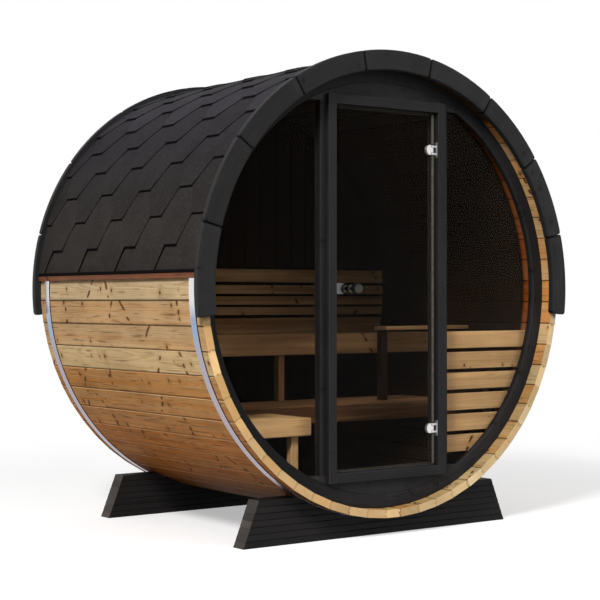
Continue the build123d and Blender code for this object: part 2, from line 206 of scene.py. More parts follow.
def scaled(place, x, y, z):
    """A place stretched along its three directions."""
    return Node("ShaderNodeVectorMath", {0: place, 1: (x, y, z)}, operation="MULTIPLY")[0]


def length(place):
    """The length of a vector."""
    return Node("ShaderNodeVectorMath", {0: place}, operation="LENGTH")["Value"]


def object_place(tree):
    """Place in the object's own coordinates."""
    return Node("ShaderNodeTexCoord", tree=tree)["Object"]


def note(tree, name, output="Fac"):
    """An attribute that the mesh carries."""
    return Node("ShaderNodeAttribute", tree=tree, attribute_name=name)[output]


def new_tree(name, kind, inputs, outputs):
    """Node tree with named inputs and outputs; a number is an input's default, a word a socket's kind."""
    tree = bpy.data.node_groups.new(name, kind + "NodeTree")
    for side, sockets in (("INPUT", inputs), ("OUTPUT", outputs)):
        for label, value in sockets.items():
            word = value if isinstance(value, str) else {int: "Int", float: "Float"}[type(value)]
            socket = tree.interface.new_socket(name=label, in_out=side, socket_type="NodeSocket" + word)
            if word != value:
                socket.default_value = value
    return Node("NodeGroupInput", tree=tree), Node("NodeGroupOutput", tree=tree), tree


def wood_figure():
    """Growth rings, sawn branches, pin knots, streaks and fibres of a board, and its end grain."""
    given, result, group = new_tree("wood figure", "Shader", {
        "Place": "Vector", "Seed": "Vector", "Tone": 0.5, "End": 0.0, "Ring width": 0.0036,
        "Knot size": 0.006, "Knot share": 0.5, "Whorl share": 0.7, "Pale": "Color", "Warm": "Color",
        "Late wood": "Color", "Knot": "Color", "End grain": "Color", "Contrast": 0.6, "Smears": 0.1,
    }, {"Color": "Color", "Height": "Float", "Fibre": "Float"})
    along, across, deep = split(given["Place"])
    first, second, third = split(given["Seed"])
    along = third * 40.0 + along
    shift = first * 17.0
    side = 1.0 - given["End"]

    def field(x, y, z, detail=2.0):
        """Noise stretched along the board, different on every board."""
        return noise(vector(along * x, across * y + shift, deep * z + shift), 1.0, detail)

    # Whorls: the branches of one year, sawn lengthwise into short dark strokes across the board
    gap = 0.33
    row = along / gap
    whorl = Node("ShaderNodeTexVoronoi", {"W": row, "Scale": 1.0, "Randomness": 0.95},
                 voronoi_dimensions="1D")
    lots = split(whorl["Color"], "Color")
    lean = lots[0] * 2.0 - 1.0
    away = (row - whorl["W"]) * gap - across * lean
    piece = noise(vector(across * 36.0 + shift, lots[1] * 40.0), 1.0, 0.0)
    bend = noise(vector(across * 22.0, lots[1] * 60.0 + 9.0), 1.0, 1.0)
    away = away + (bend * 0.026 - 0.013)
    stroke = abs(away) / ramp(piece, 0.48, 0.64, 0.0012, 0.0085)
    shown = lots[2] < given["Whorl share"]
    strokes = ramp(stroke, 0.6, 1.25, 1.0, 0.0) * shown * ramp(piece, 0.47, 0.54)
    bow = bell(away / 0.014) * shown * ramp(piece, 0.4, 0.6)

    # Pin knots: one in some of the cells along the board
    cell = 0.085
    spot = vector(along / cell, second * 9.0 + across / (cell * 1.3))
    cells = Node("ShaderNodeTexVoronoi", {"Vector": spot, "Scale": 1.0, "Randomness": 0.9},
                 voronoi_dimensions="2D")
    lots = split(cells["Color"], "Color")
    present = lots[1] < given["Knot share"]
    size = (lots[0] * 0.7 + 0.3) * given["Knot size"] * present + 0.00001
    reach = cells["Distance"] * cell / size + (field(130, 130, 0, 1) * 0.7 - 0.35)
    halo = larger(bell(reach / 2.6), bow * 0.85) * side
    knots = larger(ramp(reach, 0.7, 1.1, 1.0, 0.0), strokes) * side

    # Growth rings round a heart that wanders beside the board
    drift = split(noise(vector(along * 0.8, shift), 1.0, 1.0, output="Color"), "Color")
    heart_across = (first * 0.13 - 0.065) + (drift[0] * 0.05 - 0.025)
    heart_deep = (second * -0.07 - 0.025) + (drift[1] * 0.06 - 0.03)
    ring_place = length(vector(across - heart_across, deep - heart_deep))
    ring_place = ring_place + (field(2.5, 14, 14) * 0.008 - 0.004) + halo * 0.005
    rings = ring_place / given["Ring width"]
    turn = calc("FRACT", rings)
    year = Node("ShaderNodeTexWhiteNoise", {"W": calc("FLOOR", rings) + shift}, noise_dimensions="1D")
    late = ramp(turn, 0.25, 0.85) * ramp(turn, 0.9, 1.0, 1.0, 0.0) * (year["Value"] * 0.7 + 0.3)

    # Colour
    tone = given["Tone"] + (field(1.3, 34, 34, 3) * 0.9 - 0.45)
    body = blend(clamped(tone), given["Pale"], given["Warm"])
    thin = ramp(field(0.9, 150, 60, 2), 0.56, 0.74)
    smear = ramp(field(2.4, 30, 20, 2), 0.54, 0.72) * (given["Tone"] * 0.6 + 0.6)
    for amount in (thin * 0.4, smear * given["Smears"], late * given["Contrast"], halo * 0.42):
        body = blend(amount, body, given["Late wood"])
    pitch = ramp(field(6.5, 95, 60, 1), 0.625, 0.7) * given["Whorl share"]
    body = blend(pitch * 0.8, body, given["Knot"])
    fibre = field(8, 700, 700, 2)
    body = dimmed(body, ramp(fibre, 0.25, 0.75, 0.86, 1.1, smooth=False))
    body = blend(knots * 0.96, body, given["Knot"])
    pores = ramp(noise(given["Place"], 900.0, 1.0), 0.3, 0.7, 0.88, 1.08, smooth=False)
    pores = pores * (given["Tone"] * -0.3 + 1.12) * (first * 0.24 + 0.86)
    end = blend(ramp(second, 0.2, 1.0, 0.0, 0.6), given["End grain"], given["Pale"])
    end = dimmed(blend(late * 0.35, end, given["Late wood"]), pores)
    result["Color"] = blend(given["End"], body, end)
    result["Height"] = late * -0.5 + fibre * 0.6 + knots * 0.35
    result["Fibre"] = fibre
    return group


def weathering():
    """Broad stains that lie over a finish, from 0 to 1."""
    given, result, group = new_tree("weathering", "Shader", {"Place": "Vector", "Blotch size": 0.25},
                                    {"Blotches": "Float"})
    result["Blotches"] = ramp(noise(given["Place"], 1.0 / given["Blotch size"], 4.0, 0.6), 0.35, 0.7)
    return group


FIGURE = wood_figure()
WEATHER = weathering()


def emptied(holder):
    """The node tree of a new material or world, with nothing in it."""
    holder.use_nodes = True
    holder.node_tree.nodes.clear()
    return holder.node_tree


def new_finish(name, **constants):
    """New material, its node tree, its Principled shader with plain values, and the place on the object."""
    material = bpy.data.materials.new(name)
    tree = emptied(material)
    inputs = {label.replace("_", " "): value for label, value in constants.items()}
    shader = Node("ShaderNodeBsdfPrincipled", inputs, tree)
    Node("ShaderNodeOutputMaterial", {"Surface": shader[0]})
    return material, tree, shader, object_place(tree)


def raise_surface(shader, height, distance, strength=1.0):
    """Gives a shader the relief of a height."""
    shader["Normal"] = Node("ShaderNodeBump", {"Height": height, "Strength": strength,
                                               "Distance": distance})[0]


def stained(place, stain, **sizes):
    """Broad stains at a place as a factor on the colour, between the two numbers of stain."""
    blotches = Node("ShaderNodeGroup", {"Place": place, **sizes}, node_tree=WEATHER)["Blotches"]
    return ramp(blotches, 0.0, 1.0, *stain, smooth=False)


# Between which two distances from a stave's joint the joint is dark and the lower bevel gets painted shade,
# and between which heights the staves get painted shade near the ground and under the eave
JOINT = (0.0004, 0.0012)
BEVEL_EDGE = (0.0048, 0.0062)
GROUND_SHADE = (0.08, 0.4)
EAVE_SHADE = (0.8, 0.95)


def wood(name, pale, warm, late, knot, end, knot_size=0.006, share=0.35, whorls=0.7, contrast=0.6,
         rough=(0.5, 0.62), worn=(0.9, 1.0), relief=0.0006, stain=0.25, seam=1.0, ground_shade=1.0, smears=0.1,
         bevel_light=None, painted_light_and_shade=(), ends=(), **constants):
    """Finish of sawn and planed boards, oiled or stained.

    seam is how dark the joints between staves are; beside each joint the lower bevel is also dimmed by
    half, as painted shade. The ground shade number says how dark the staves are painted near the ground,
    and with it they are also painted darker under the eave; both are painted shade. The bevel colour is a
    painted highlight on the upper bevels of the staves, and bevels noted below zero are dimmed as painted
    shade. The two factors for edges apply to faces with no edge note and with a full one, so rounded edges
    come out lighter, as rubbed-through finish and as painted highlight. The painted light steps multiply
    the colour along an axis of the object as painted light and shade, each with the axis, where it starts
    and where it is full. ends holds the same kind of steps for end grain, which has no painted shade near
    the ground and only faint joints.
    """
    material, tree, shader, place = new_finish(name, **constants)
    board_place = note(tree, "board_place", "Vector")
    end_grain = note(tree, "end_grain")
    edge = note(tree, "worn_edge")
    figure = Node("ShaderNodeGroup", {
        "Place": board_place, "Seed": note(tree, "board_seed", "Vector"),
        "Tone": note(tree, "board_tone"), "End": end_grain, "Knot size": knot_size, "Knot share": share,
        "Whorl share": whorls, "Pale": pale, "Warm": warm, "Late wood": late, "Knot": knot,
        "End grain": end, "Contrast": contrast, "Smears": smears}, node_tree=FIGURE)
    body = figure["Color"]
    sides = split(place)
    # Painted highlight on the upper bevels of the staves, and painted shade on bevels noted below zero
    if bevel_light:
        body = blend(clamped(edge), body, bevel_light)
        light = ramp(edge, -1.0, 0.0, 0.1, 1.0, smooth=False)
    else:
        # Rounded edges lighter, as rubbed-through finish and as painted highlight; joint faces of curved
        # boards darker
        light = edge * (worn[1] - worn[0]) + worn[0]
    light = light * stained(place, (1.0, 1.0 - stain))
    if seam < 1.0:
        _, across, out = split(board_place)
        half = tan(radians(STAVE_TURN / 2))
        to_joint = out * half + BARREL_RADIUS * half - abs(across)
        # Painted shade: the bevel on the lower side of each joint is dimmed by half
        line = ramp(to_joint, *BEVEL_EDGE, 1.0, 0.0) * (across * sides[0] > 0.0)
        joint = ramp(to_joint, *JOINT, seam, 1.0) * (line * -0.5 + 1.0)
        light = light * larger(joint, end_grain * 0.8)
    # Painted shade: darker towards the ground, except on end grain and on bevels with a painted highlight,
    # and darker under the eave
    if ground_shade < 1.0:
        light = light * larger(larger(ramp(sides[2], *GROUND_SHADE, ground_shade, 1.0), edge), end_grain)
        light = light * ramp(sides[2], *EAVE_SHADE, 1.0, 0.86)
    body = dimmed(body, light)
    # Painted light and shade along the object's axes; end grain takes its own steps
    if painted_light_and_shade:
        shades = []
        for steps in (painted_light_and_shade, ends):
            shade = (1, 1, 1)
            for axis, start, full, color in steps:
                shade = blend(ramp(sides[axis], start, full), shade, color)
            shades.append(shade)
        body = blend(1.0, body, blend(end_grain, *shades), "MULTIPLY")
    shader["Base Color"] = body
    shader["Roughness"] = ramp(figure["Fibre"], 0.3, 0.7, *rough, smooth=False)
    raise_surface(shader, figure["Height"], relief)
    return material


def metal(name, color, rough, brushed=1.0, scratch=0.00003, reflection_tints=()):
    """Finish of bare steel; brushed says how much finer the marks are across than along.

    The colours for reflections are painted reflections of ground and sky along the band, each with where it
    starts and where it is full.
    """
    material, tree, shader, place = new_finish(name, Metallic=1.0)
    along = note(tree, "board_place", "Vector") if brushed > 1 else place
    marks = noise(scaled(along, 30.0, 30.0 * brushed, 30.0 * brushed), 1.0, 3.0)
    cloud = noise(place, 9.0, 3.0)
    # Painted reflections: the colour changes along the band
    for start, full, reflection in reflection_tints:
        run = abs(split(along)[0]) + (cloud * 0.16 - 0.08)
        color = blend(ramp(run, start, full), color, reflection)
    shader["Base Color"] = dimmed(color, (marks * 0.14 + 0.86) + (cloud * 0.1 - 0.05))
    shader["Roughness"] = ramp(marks, 0.3, 0.7, *rough)
    raise_surface(shader, marks, scratch)
    return material


def glass(name, color, through):
    """Tinted glass that lets plain light through to what is behind it."""
    material, tree, shader, place = new_finish(name, IOR=1.2, Roughness=0.0, Transmission_Weight=1.0,
                                               Specular_Tint=(0.04, 0.04, 0.04))
    film = ramp(noise(place, 1.6, 3.0), 0.3, 0.7)
    shader["Base Color"] = blend(film, color, tuple(0.94 * part for part in color))
    rays = Node("ShaderNodeLightPath", tree=tree)
    clear = Node("ShaderNodeBsdfTransparent", {0: through}, tree)
    plain = larger(rays["Is Shadow Ray"], rays["Is Diffuse Ray"])
    both = Node("ShaderNodeMixShader", {0: plain, 1: shader[0], 2: clear[0]})
    fill(tree.get_output_node("ALL").inputs["Surface"], both[0])
    return material


def polished_edge(name, dark, light):
    """Ground and polished edge of a pane, greyish green and opaque."""
    material, _, shader, place = new_finish(name, Specular_IOR_Level=0.3)
    marks = ramp(noise(scaled(place, 60.0, 400.0, 12.0)), 0.3, 0.7)
    shader["Base Color"] = blend(marks, dark, light)
    shader["Roughness"] = ramp(marks, 0.0, 1.0, 0.12, 0.25)
    return material


def shingle_felt(name):
    """Mineral granules on bitumen felt."""
    material, tree, shader, place = new_finish(name, Specular_IOR_Level=0.1)
    grains = Node("ShaderNodeTexVoronoi", {"Vector": place, "Scale": 620.0})
    lots = split(grains["Color"], "Color")
    body = blend(lots[0], (0.01, 0.0086, 0.0082), (0.034, 0.029, 0.027))
    body = blend(ramp(lots[1], 0.86, 0.9), body, (0.07, 0.058, 0.05))
    # Painted sky reflection: faces that look upwards are tinted blue
    upwards = split(Node("ShaderNodeNewGeometry", tree=tree)["Normal"])[2]
    body = blend(ramp(upwards, 0.25, 0.85), body, blend(1.0, body, (0.92, 1.0, 1.3), "MULTIPLY"))
    tone = note(tree, "tab_tone") * 0.5 + 0.72
    tone = tone * stained(place, (1.06, 0.82), **{"Blotch size": 0.16})
    # Painted contact shadow: darker close to the lower edge of each tab and cap
    tone = tone * ramp(note(tree, "from_edge"), 0.002, 0.009, 0.5, 1.0)
    shader["Base Color"] = dimmed(body, tone)
    shader["Roughness"] = ramp(lots[2], 0.0, 1.0, 0.72, 0.95, False)
    raise_surface(shader, lots[0] - grains["Distance"], 0.0006, 0.7)
    return material


def rubber(name, color, rough):
    """Dull black rubber or cut felt with a slight bloom."""
    material, _, shader, place = new_finish(name, Specular_IOR_Level=0.02)
    bloom = ramp(noise(place, 60.0, 3.0), 0.3, 0.7)
    shader["Base Color"] = blend(bloom, color, tuple(1.5 * part for part in color))
    shader["Roughness"] = ramp(bloom, 0.0, 1.0, rough - 0.08, rough)
    return material


PLAIN = (1, 1, 1)
EVERYWHERE = (-3.0, -2.0)
STAVE_WOOD = dict(pale=(0.92, 0.655, 0.335), warm=(0.86, 0.345, 0.082), late=(0.4, 0.15, 0.036),
                  knot=(0.17, 0.063, 0.02), end=(0.84, 0.52, 0.215), knot_size=0.0082, share=0.34,
                  whorls=0.66, contrast=0.34, stain=0.18, seam=0.42, smears=0.5)
# The staves' steps along Z are painted light and shade: darker and browner at the bottom, lighter up to
# 0.42 m, a darker band from 0.6 m to 0.74 m, and darker from 0.8 m up under the eave; the bevel colour is
# the painted highlight on their upper bevels
STAVE_FINISH = wood(
    "oiled_spruce_staves", ground_shade=0.16, bevel_light=(1.0, 0.61, 0.31), Specular_IOR_Level=0.03,
    painted_light_and_shade=((2, *EVERYWHERE, (0.56, 0.45, 0.4)), (2, 0.16, 0.27, (1.21, 1.03, 0.95)),
              (2, 0.42, 0.6, PLAIN), (2, 0.6, 0.66, (0.88, 0.94, 1.03)), (2, 0.7, 0.74, PLAIN),
              (2, 0.8, 0.86, (0.86, 0.9, 1.0))),
    ends=((0, -0.42, -0.12, (1.05, 1.24, 1.5)), (2, 0.6, 0.3, (1.19, 1.19, 1.25)),
          (0, 0.02, 0.22, (1.19, 1.37, 1.7))), **STAVE_WOOD)
# Inner faces with painted light and shade: in front of the wall darker low down and near black at the top
# under the arch, a band just behind the wall kept lighter as a painted sunlit strip, near black deeper in
# the room as painted shade, and plain past the rear wall
INNER_STAVES = wood(
    "heat_darkened_staves", rough=(0.6, 0.75), Specular_IOR_Level=0.04,
    painted_light_and_shade=((2, *EVERYWHERE, (0.66, 0.75, 0.76)), (2, 0.55, 0.9, PLAIN),
              (2, 1.815, 1.86, (0.07, 0.07, 0.08)),
              (1, WALL_FRONT, WALL_FRONT + 0.01, (0.42, 0.27, 0.25)),
              (1, WALL_BACK + 0.07, WALL_BACK + 0.095, (0.017, 0.0165, 0.019)),
              (1, REAR_WALL + 0.03, REAR_WALL + 0.04, PLAIN)), **STAVE_WOOD)
# Rounded edges of the charcoal boards come out up to 3.4 times lighter, as rubbed-through stain and as
# painted highlight
CHARCOAL_WOOD = dict(pale=(0.028, 0.0274, 0.0294), warm=(0.0185, 0.018, 0.019),
                     late=(0.013, 0.0125, 0.013), knot=(0.008, 0.0075, 0.0075), end=(0.04, 0.037, 0.035),
                     knot_size=0.01, whorls=0.4, rough=(0.45, 0.62), worn=(1.0, 3.4), relief=0.0008,
                     stain=0.2, Specular_IOR_Level=0.12)
CHARCOAL = wood("charcoal_stained_softwood", **CHARCOAL_WOOD)
# The ring is painted darker towards its left side, as painted shade
RING_FINISH = wood("charcoal_stained_ring", painted_light_and_shade=((0, *EVERYWHERE, (0.3, 0.3, 0.33)),
                                                      (0, -0.55, -0.1, PLAIN)), **CHARCOAL_WOOD)
CRADLE_FINISH = wood("charcoal_stained_cradle_boards", (0.022, 0.0205, 0.02), (0.014, 0.013, 0.0128),
                     (0.01, 0.0093, 0.009), (0.007, 0.0063, 0.006), (0.09, 0.077, 0.067), whorls=0.4,
                     contrast=0.75, rough=(0.5, 0.68), worn=(1.0, 1.4), relief=0.0008,
                     Specular_IOR_Level=0.12)
BENCH_WOOD = dict(pale=(0.86, 0.6, 0.33), late=(0.2, 0.09, 0.038), knot=(0.06, 0.025, 0.012),
                  end=(0.3, 0.18, 0.09), share=0.25, whorls=0.05, contrast=0.3, rough=(0.42, 0.55),
                  stain=0.12, smears=0.15, Specular_IOR_Level=0.12)
BENCH_FINISH = wood("heat_treated_bench_boards", warm=(0.14, 0.06, 0.027), **BENCH_WOOD)
# The lower bench aprons are much darker than the bench boards, painted shade under the benches
APRON_FINISH = wood("heat_darkened_aprons", warm=(0.065, 0.034, 0.016), **BENCH_WOOD)
POST_FINISH = wood("dark_stained_posts", (0.03, 0.018, 0.011), (0.02, 0.012, 0.008),
                   (0.013, 0.008, 0.006), (0.01, 0.006, 0.004), (0.03, 0.02, 0.012), rough=(0.5, 0.65),
                   Specular_IOR_Level=0.05)
REAR_FINISH = wood("tongued_rear_boards", (0.6, 0.39, 0.19), (0.46, 0.23, 0.08), (0.2, 0.09, 0.03),
                   (0.08, 0.03, 0.012), (0.5, 0.32, 0.15), knot_size=0.012, whorls=0.5,
                   Specular_IOR_Level=0.2)
# The room side of the rear wall is a near-black copy of its boards, painted shade; the tongues in its
# joints get the same
INNER_REAR = wood("heat_darkened_rear_boards", (0.013, 0.008, 0.005), (0.009, 0.005, 0.0035),
                  (0.007, 0.004, 0.003), (0.005, 0.003, 0.002), (0.02, 0.012, 0.008), rough=(0.6, 0.75),
                  Specular_IOR_Level=0.03)
EAVE_FINISH = wood("red_brown_batten_stain", (0.3, 0.11, 0.046), (0.18, 0.058, 0.022),
                   (0.08, 0.024, 0.011), (0.03, 0.01, 0.006), (0.12, 0.06, 0.03), whorls=0.6,
                   Specular_IOR_Level=0.15)
# The hoop's lilac base and its blue and pale bands along its length are painted reflections of ground and
# sky
HOOP_STEEL = metal("stainless_band_steel", (0.42, 0.37, 0.42), (0.2, 0.34), 12.0, 0.0001,
                   ((1.3, 1.38, (0.34, 0.42, 0.58)), (1.42, 1.54, (0.84, 0.82, 0.83))))
SATIN_STEEL = metal("satin_hinge_steel", (0.82, 0.81, 0.82), (0.3, 0.42))
# The chrome's base colour is darkened to paint the dark surroundings it reflects
CHROME = metal("polished_chrome", (0.13, 0.13, 0.135), (0.1, 0.2))
DARK_NICKEL = metal("dark_brushed_nickel", (0.052, 0.05, 0.046), (0.25, 0.4))
TINTED = glass("bronze_tinted_glass", (0.88, 0.81, 0.72), (0.98, 0.95, 0.9))
GLASS_EDGE = polished_edge("polished_glass_edge", (0.075, 0.08, 0.066), (0.11, 0.115, 0.098))
FELT = shingle_felt("bitumen_shingle_granules")
CUT_FELT = rubber("cut_bitumen_edge", (0.0042, 0.0038, 0.0038), 0.9)
# Black tape on the side panes' edges, and the strips that paint the shadow lines beside the hoops
TAPE_AND_SHADOW = rubber("black_glazing_tape", (0.01, 0.01, 0.011), 0.55)
EDGE_STRIP = rubber("grey_edge_strip", (0.08, 0.075, 0.063), 0.5)
BLACK_SCREW = metal("blackened_screws", (0.05, 0.048, 0.047), (0.35, 0.5))
STEEL_SCREW = metal("stainless_screws", (0.42, 0.41, 0.4), (0.25, 0.4))


# Meshes
def polar(radius, turn, y):
    """A place at a radius and an angle from the top of the barrel."""
    return (radius * sin(radians(turn)), y, AXIS_HEIGHT + radius * cos(radians(turn)))


def new_object(name, data):
    """An object in the scene."""
    item = bpy.data.objects.new(name, data)
    scene.collection.objects.link(item)
    return item


def add(name, mesh, materials, body, replaced=()):
    """Links a finished mesh as a piece that rides on a body."""
    piece = new_object(name, mesh)
    index = material_numbers(mesh)
    mesh.materials.clear()
    for material in materials:
        mesh.materials.append(material)
    mesh.polygons.foreach_set("material_index", np.minimum(index, len(materials) - 1))
    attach(piece, body)
    if replaced:
        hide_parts(*replaced)


def evaluated(carrier):
    """The mesh that a carrier's modifiers make of it; the carrier itself goes."""
    depsgraph = bpy.context.evaluated_depsgraph_get()
    mesh = bpy.data.meshes.new_from_object(carrier.evaluated_get(depsgraph))
    bpy.data.objects.remove(carrier)
    return mesh


def smooth(mesh, angle=25.0):
    """Smooth faces with sharp edges between those that meet at more than an angle."""
    mesh.shade_smooth()
    mesh.set_sharp_from_angle(angle=radians(angle))


def read(items, name, width=3, kind=float):
    """One property of all faces, edges or vertices as an array."""
    values = np.zeros(len(items) * width, kind)
    items.foreach_get(name, values)
    return values.reshape(-1, width) if width > 1 else values


def material_numbers(mesh):
    """The number of each face's material as an array."""
    return read(mesh.polygons, "material_index", 1, int)


def store(mesh, name, values, domain="POINT"):
    """Notes a number or a vector for each vertex or face on the mesh."""
    kind, field = ("FLOAT_VECTOR", "vector") if values.ndim > 1 else ("FLOAT", "value")
    layer = mesh.attributes.get(name) or mesh.attributes.new(name, kind, domain)
    layer.data.foreach_set(field, values.ravel())


def to_mesh(shape, name):
    """Turns a bmesh into a mesh."""
    mesh = bpy.data.meshes.new(name)
    shape.to_mesh(mesh)
    shape.free()
    return mesh


def join_meshes(name, meshes):
    """One mesh from several."""
    shape = bmesh.new()
    for mesh in meshes:
        shape.from_mesh(mesh)
        bpy.data.meshes.remove(mesh)
    return to_mesh(shape, name)


def clean_copy(node):
    """A bmesh of a node with its loose triangles joined into flat faces."""
    shape = bmesh.new()
    shape.from_mesh(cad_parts[node].data)
    bmesh.ops.remove_doubles(shape, verts=shape.verts, dist=2e-6)
    bmesh.ops.dissolve_limit(shape, angle_limit=radians(0.5), verts=shape.verts, edges=shape.edges)
    return shape


def bisect(shape, place, way, **cleared):
    """Cuts a bmesh along a plane; where one side is cleared, closes it and gives back the new faces."""
    everything = shape.verts[:] + shape.edges[:] + shape.faces[:]
    cut = bmesh.ops.bisect_plane(shape, geom=everything, plane_co=place, plane_no=way, **cleared)
    edges = [item for item in cut["geom_cut"] if isinstance(item, bmesh.types.BMEdge)]
    return bmesh.ops.edgeloop_fill(shape, edges=edges)["faces"] if cleared and edges else []


def cut_apart(shape, way, places, gap=0.0003):
    """Cuts a closed mesh across one direction into boards with closed sides."""
    way = Vector(way)
    boards = []
    marks = [None, *places, None]
    for low, high in zip(marks, marks[1:]):
        board = shape.copy()
        for place, side in ((low, 1), (high, -1)):
            if place is not None:
                bisect(board, way * (place + side * gap / 2), way * side, clear_inner=True)
        boards.append(to_mesh(board, "board"))
    shape.free()
    result = bmesh.new()
    for mesh in boards:
        result.from_mesh(mesh)
        bpy.data.meshes.remove(mesh)
    bmesh.ops.recalc_face_normals(result, faces=result.faces)
    return result


def slice_round(shape, step):
    """Adds edges along radial planes, so that long curved faces are cut into short ones."""
    for number in range(int(180 / step)):
        turn = radians(number * step)
        bisect(shape, (0, 0, AXIS_HEIGHT), (cos(turn), 0, -sin(turn)))


def trim(mesh, planes):
    """Cuts a mesh off at planes, closes it with the second material and turns its faces outwards."""
    shape = bmesh.new()
    shape.from_mesh(mesh)
    for place, away in planes:
        for face in bisect(shape, place, away, clear_outer=True):
            face.material_index = 1
    bmesh.ops.recalc_face_normals(shape, faces=shape.faces)
    shape.to_mesh(mesh)
    shape.free()


def rounded(mesh, width, segments=2):
    """Rounds the sharp edges; the rounded faces get the second material."""
    carrier = new_object("carrier", mesh)
    bevel = carrier.modifiers.new("round", "BEVEL")
    bevel.width = width
    bevel.segments = segments
    bevel.limit_method = "ANGLE"
    bevel.angle_limit = radians(SHARP)
    bevel.material = 1
    bevel.harden_normals = True
    mesh.materials.clear()
    mesh.materials.append(CHARCOAL)
    mesh.materials.append(CHARCOAL)
    smooth(mesh, SHARP)
    return evaluated(carrier)


def board_numbers(mesh):
    """The number of the separate board that each vertex belongs to."""
    label = np.arange(len(mesh.vertices))
    first, second = read(mesh.edges, "vertices", 2, int).T
    while True:
        before = label.copy()
        low = np.minimum(label[first], label[second])
        np.minimum.at(label, first, low)
        np.minimum.at(label, second, low)
        label = label[label]
        if (label == before).all():
            return np.unique(label, return_inverse=True)[1]


def sideways(normals, middles):
    """How much faces look round the barrel, from 0 to 1."""
    turn = np.arctan2(middles[:, 0], middles[:, 2] - AXIS_HEIGHT)
    tangent = np.stack([np.cos(turn), 0 * turn, -np.sin(turn)], 1)
    return np.abs((normals * tangent).sum(1))


def straight_frame(places, normals, middles):
    """Grain place of a straight board: along its longest side, across, deep, and its end faces."""
    low, high = places.min(0), places.max(0)
    order = np.argsort(low - high)
    place = (places - (low + high) / 2)[:, order]
    return place, np.abs(normals[:, order[0]]) > FACING


def lengthwise_frame(places, normals, middles):
    """Grain place of a stave: along the barrel, across the stave and out from it."""
    middle = places.mean(0)
    turn = atan2(middle[0], middle[2] - AXIS_HEIGHT)
    x, z = places[:, 0], places[:, 2] - AXIS_HEIGHT
    across = x * cos(turn) - z * sin(turn)
    out = x * sin(turn) + z * cos(turn) - BARREL_RADIUS
    return np.stack([places[:, 1], across, out], 1), np.abs(normals[:, 1]) > FACING


def curved_frame(places, normals, middles):
    """Grain place of a board that is sawn in an arc round the barrel."""
    middle = places.mean(0)
    centre = atan2(middle[0], middle[2] - AXIS_HEIGHT)
    turn = np.arctan2(places[:, 0], places[:, 2] - AXIS_HEIGHT) - centre
    turn = (turn + pi) % (2 * pi) - pi
    radius = np.hypot(places[:, 0], places[:, 2] - AXIS_HEIGHT)
    width = (radius.min() + radius.max()) / 2
    place = np.stack([turn * width, radius - width, places[:, 1] - middle[1]], 1)
    return place, sideways(normals, middles) > FACING


def write_grain(mesh, frame_rule, seed, tones=(0.3, 0.8), tone_of=None):
    """Notes each board's grain place, seed and tone on the mesh, and which faces are end grain."""
    draw = random.Random(seed)
    places = read(mesh.vertices, "co")
    normals = read(mesh.polygons, "normal")
    middles = read(mesh.polygons, "center")
    boards = board_numbers(mesh)
    face_board = np.array([boards[face.vertices[0]] for face in mesh.polygons])
    board_place = np.zeros((len(places), 3))
    board_seed = np.zeros((len(places), 3))
    board_tone = np.zeros(len(places))
    end_grain = np.zeros(len(normals))
    for board in range(boards.max() + 1):
        mine = boards == board
        its_faces = face_board == board
        board_place[mine], end_grain[its_faces] = frame_rule(places[mine], normals[its_faces],
                                                             middles[its_faces])
        board_seed[mine] = [draw.random() for _ in range(3)]
        board_tone[mine] = draw.uniform(*tones)
        if tone_of:
            board_tone[mine] = tone_of(places[mine].mean(0))
    store(mesh, "board_place", board_place)
    store(mesh, "board_seed", board_seed)
    store(mesh, "board_tone", board_tone)
    store(mesh, "end_grain", end_grain, "FACE")


def write_wear(mesh, wear, curved):
    """Turns the rounded faces' second material into a note of rubbed edges and painted highlight; joints of
    curved boards stay dark.
    """
    worn = (material_numbers(mesh) == 1) * wear
    if curved:
        across = sideways(read(mesh.polygons, "normal"), read(mesh.polygons, "center"))
        worn = np.where(across > 0.3, -0.35, worn)
    store(mesh, "worn_edge", worn, "FACE")
    mesh.polygons.foreach_set("material_index", np.zeros(len(worn), int))


def write_bevels(mesh):
    """Notes a painted highlight on the upper outer bevel of each stave, which turns to painted shade high
    on the barrel, and painted shade on the lower one.
    """
    middles = read(mesh.polygons, "center")
    normals = read(mesh.polygons, "normal")
    out = np.stack([middles[:, 0], 0 * middles[:, 0], middles[:, 2] - AXIS_HEIGHT], 1)
    radius = np.linalg.norm(out, axis=1)
    out /= radius[:, None]
    outwards = (normals * out).sum(1)
    bevel = (radius > BARREL_RADIUS - 0.006) & (np.abs(outwards - 0.7) < 0.15)
    upper = normals[:, 2] > outwards * out[:, 2]
    bevel_light = np.interp(middles[:, 2], [0.45, 0.62, 0.9], [0.95, 0.6, -0.6])
    store(mesh, "worn_edge", bevel * np.where(upper, bevel_light, -0.9), "FACE")


def is_inside(face):
    """Whether a face of the barrel or of the rear wall looks into the room."""
    middle = face.center
    out = Vector((middle.x, 0.0, middle.z - AXIS_HEIGHT))
    if abs(face.normal.y) > FACING:
        return face.normal.y < 0 and middle.y > 0 and out.length < RING_INNER + 0.08
    return out.length < 0.98 and face.normal.dot(out) < 0.5


def uneven_ends(mesh, seed):
    """Sets the free ends of the lower staves back by up to three millimetres, as they are after fitting."""
    draw = random.Random(seed)
    places = read(mesh.vertices, "co")
    boards = board_numbers(mesh)
    for board in range(boards.max() + 1):
        mine = boards == board
        middle = places[mine].mean(0)
        for end in (-HALF_LENGTH, HALF_LENGTH):
            back = draw.uniform(0.0, 0.003)
            if middle[2] < AXIS_HEIGHT - 0.2:
                places[mine & (np.abs(places[:, 1] - end) < 0.001), 1] -= back * np.sign(end)
    mesh.vertices.foreach_set("co", places.ravel())


